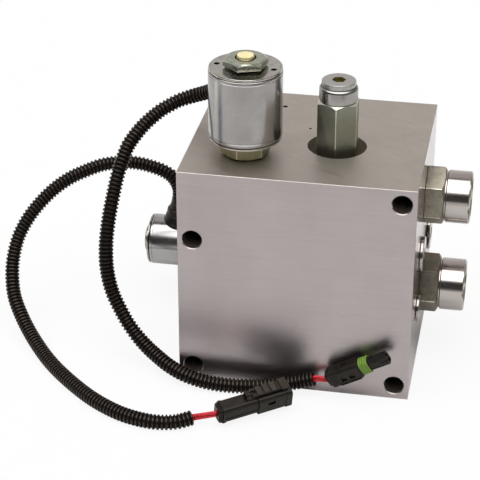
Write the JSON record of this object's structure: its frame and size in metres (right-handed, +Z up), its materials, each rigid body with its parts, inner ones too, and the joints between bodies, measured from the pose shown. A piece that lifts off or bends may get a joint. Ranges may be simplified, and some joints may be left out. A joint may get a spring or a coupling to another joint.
{
  "type": "solenoid directional valve",
  "caption": "Aluminium manifold block with solenoid cartridge valves, a pressure relief cartridge, port adapters and loomed leads ending in sealed connectors.",
  "frame": {"origin": "centre of the block's base", "axes": "+Z up along the tall coil's axis, +X to the right towards the port adapters, +Y to the back of the block"},
  "size_m": [0.3173, 0.2005, 0.2202],
  "materials": {
    "block_aluminium": "satin milled",
    "zinc_bright": "bright zinc plate",
    "zinc_dull": "dull zinc plate",
    "inner_steel": "ground",
    "button_brass": "yellow passivated",
    "winding_copper": "enamelled copper wire",
    "moulding_black": "moulded nylon",
    "loom_black": "glossy corrugated",
    "seal_black": "matte nitrile",
    "wire_red": "extruded",
    "seal_green": "silicone"
  },
  "bodies": {
    "valve": {"manifold_block": "block_aluminium", "cartridge_body_a": "zinc_dull", "cartridge_seal_a": "seal_black", "coil_base_plate_a": "zinc_bright", "coil_can_a": "zinc_bright", "bobbin_a": "moulding_black", "winding_a": "winding_copper", "return_spring_a": "inner_steel", "cartridge_body_b": "zinc_dull", "cartridge_seal_b": "seal_black", "coil_base_plate_b": "zinc_bright", "coil_can_b": "zinc_bright", "bobbin_b": "moulding_black", "winding_b": "winding_copper", "return_spring_b": "inner_steel", "guide_tube_a": "zinc_bright", "coil_top_plate_a": "zinc_bright", "coil_nut_a": "zinc_bright", "guide_tube_b": "zinc_bright", "coil_top_plate_b": "zinc_bright", "coil_nut_b": "zinc_bright", "lead_boot_a": "moulding_black", "lead_boot_b": "moulding_black", "relief_body": "zinc_dull", "relief_cap": "zinc_bright", "relief_spring": "inner_steel", "relief_seat": "inner_steel", "relief_seal": "seal_black", "port_adapter_upper": "zinc_bright", "port_o_ring_upper": "seal_black", "port_adapter_lower": "zinc_bright", "port_o_ring_lower": "seal_black", "port_plug_middle": "zinc_bright", "port_plug_front": "zinc_bright", "port_plug_rear": "zinc_bright", "loom_a": "loom_black", "loom_b": "loom_black", "wire_a_1": "wire_red", "wire_a_2": "wire_red", "wire_b_1": "wire_red", "wire_b_2": "wire_red", "tower_housing": "moulding_black", "tower_seal": "seal_green", "tower_rear_cap": "moulding_black", "shroud_housing": "moulding_black", "shroud_rear_cap": "moulding_black"},
    "spool_slide_a": {"armature_a": "inner_steel", "spool_a": "inner_steel"},
    "override": {"override_button": "button_brass"},
    "spool_slide_b": {"armature_b": "inner_steel", "spool_b": "inner_steel"},
    "spring_plate": {"relief_spring_plate": "inner_steel"},
    "adjuster": {"relief_adjuster": "zinc_bright"},
    "poppet": {"relief_poppet": "inner_steel"},
    "latch": {"shroud_latch": "moulding_black"}
  },
  "joints": [
    {"name": "spool_a_shift", "type": "slide", "parent": "valve", "child": "spool_slide_a", "axis": [0, 0, -1], "range_m": [0, 0.0025], "stiffness_N_per_m": 1500, "springref_m": -0.004, "deforming": ["return_spring_a"]},
    {"name": "override_press", "type": "slide", "parent": "valve", "child": "override", "axis": [0, 0, -1], "range_m": [0, 0.0025]},
    {"name": "spool_b_shift", "type": "slide", "parent": "valve", "child": "spool_slide_b", "axis": [1, 0, 0], "range_m": [0, 0.0025], "stiffness_N_per_m": 1200, "springref_m": -0.004, "deforming": ["return_spring_b"]},
    {"name": "adjuster_travel", "type": "slide", "parent": "valve", "child": "spring_plate", "axis": [0, 0, 1], "range_m": [-0.003, 0.0015], "deforming": ["relief_spring"]},
    {"name": "adjuster_turn", "type": "hinge", "parent": "spring_plate", "child": "adjuster", "pos_m": [0.0182, -0.0105, 0.19], "axis": [0, 0, 1], "range_deg": [-720, 360]},
    {"name": "poppet_lift", "type": "slide", "parent": "valve", "child": "poppet", "axis": [0, 0, 1], "range_m": [0, 0.002], "stiffness_N_per_m": 2000, "springref_m": -0.004, "deforming": ["relief_spring"]},
    {"name": "latch_flex", "type": "hinge", "parent": "valve", "child": "latch", "pos_m": [-0.02263, -0.10848, 0.01858], "axis": [0.5677, -0.7869, -0.2416], "range_deg": [-2, 6], "stiffness_Nm_per_rad": 0.4}
  ],
  "couplings": [
    {"joint": "override_press", "follows": "spool_a_shift", "ratio": 1},
    {"joint": "adjuster_turn", "follows": "adjuster_travel", "rad_per_m": 4188.7}
  ]
}
